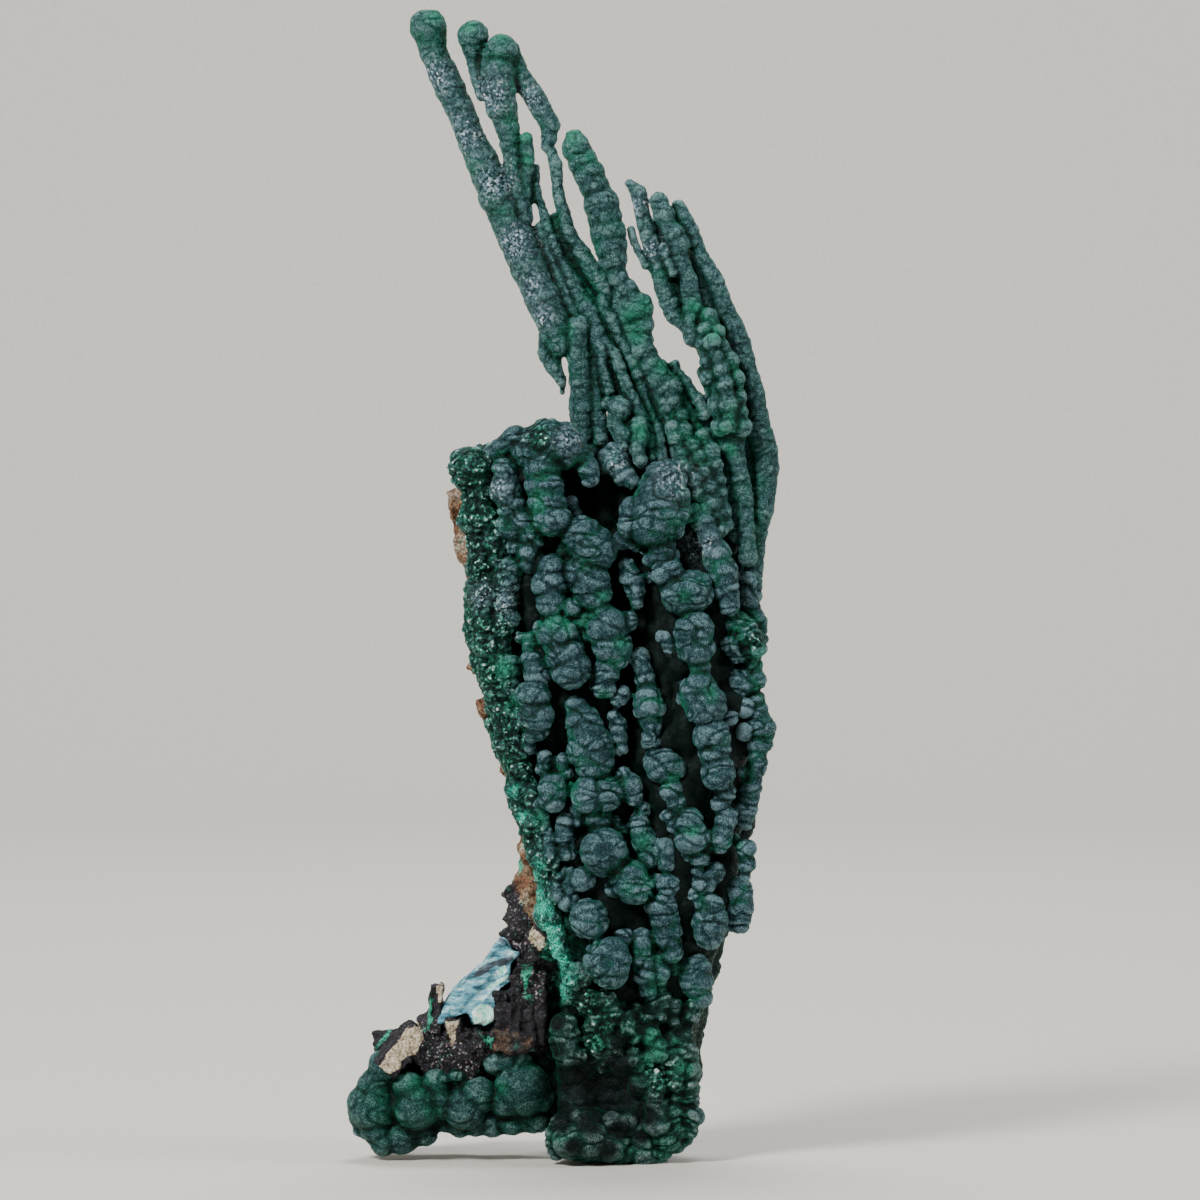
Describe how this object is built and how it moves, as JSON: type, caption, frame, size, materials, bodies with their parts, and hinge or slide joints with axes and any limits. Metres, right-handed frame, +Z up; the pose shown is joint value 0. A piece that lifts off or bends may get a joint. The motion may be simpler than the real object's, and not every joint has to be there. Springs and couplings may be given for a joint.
{
  "type": "stalactitic malachite specimen",
  "caption": "Tall cluster of knobbly malachite stalactites on a host rock wall, with thin curved branches rising from the top and a rock foot with a pale blue seam.",
  "frame": {"origin": "middle of the flat rest under the base of the cluster, on the plane the specimen stands on", "axes": "+Z up, along the height of the cluster; -Y towards the front, where the stalactites show; +X to the right seen from the front"},
  "size_m": [0.1222, 0.0534, 0.3229],
  "materials": {
    "malachite": "velvety to finely crystalline",
    "host_rock": "rough, earthy",
    "chrysocolla": "waxy"
  },
  "bodies": {
    "root": {"host_rock": "host_rock", "chrysocolla_seam": "chrysocolla", "foot_malachite": "malachite", "malachite_body": "malachite", "wing_left": "malachite", "wing_middle": "malachite", "wing_right": "malachite"}
  },
  "joints": []
}
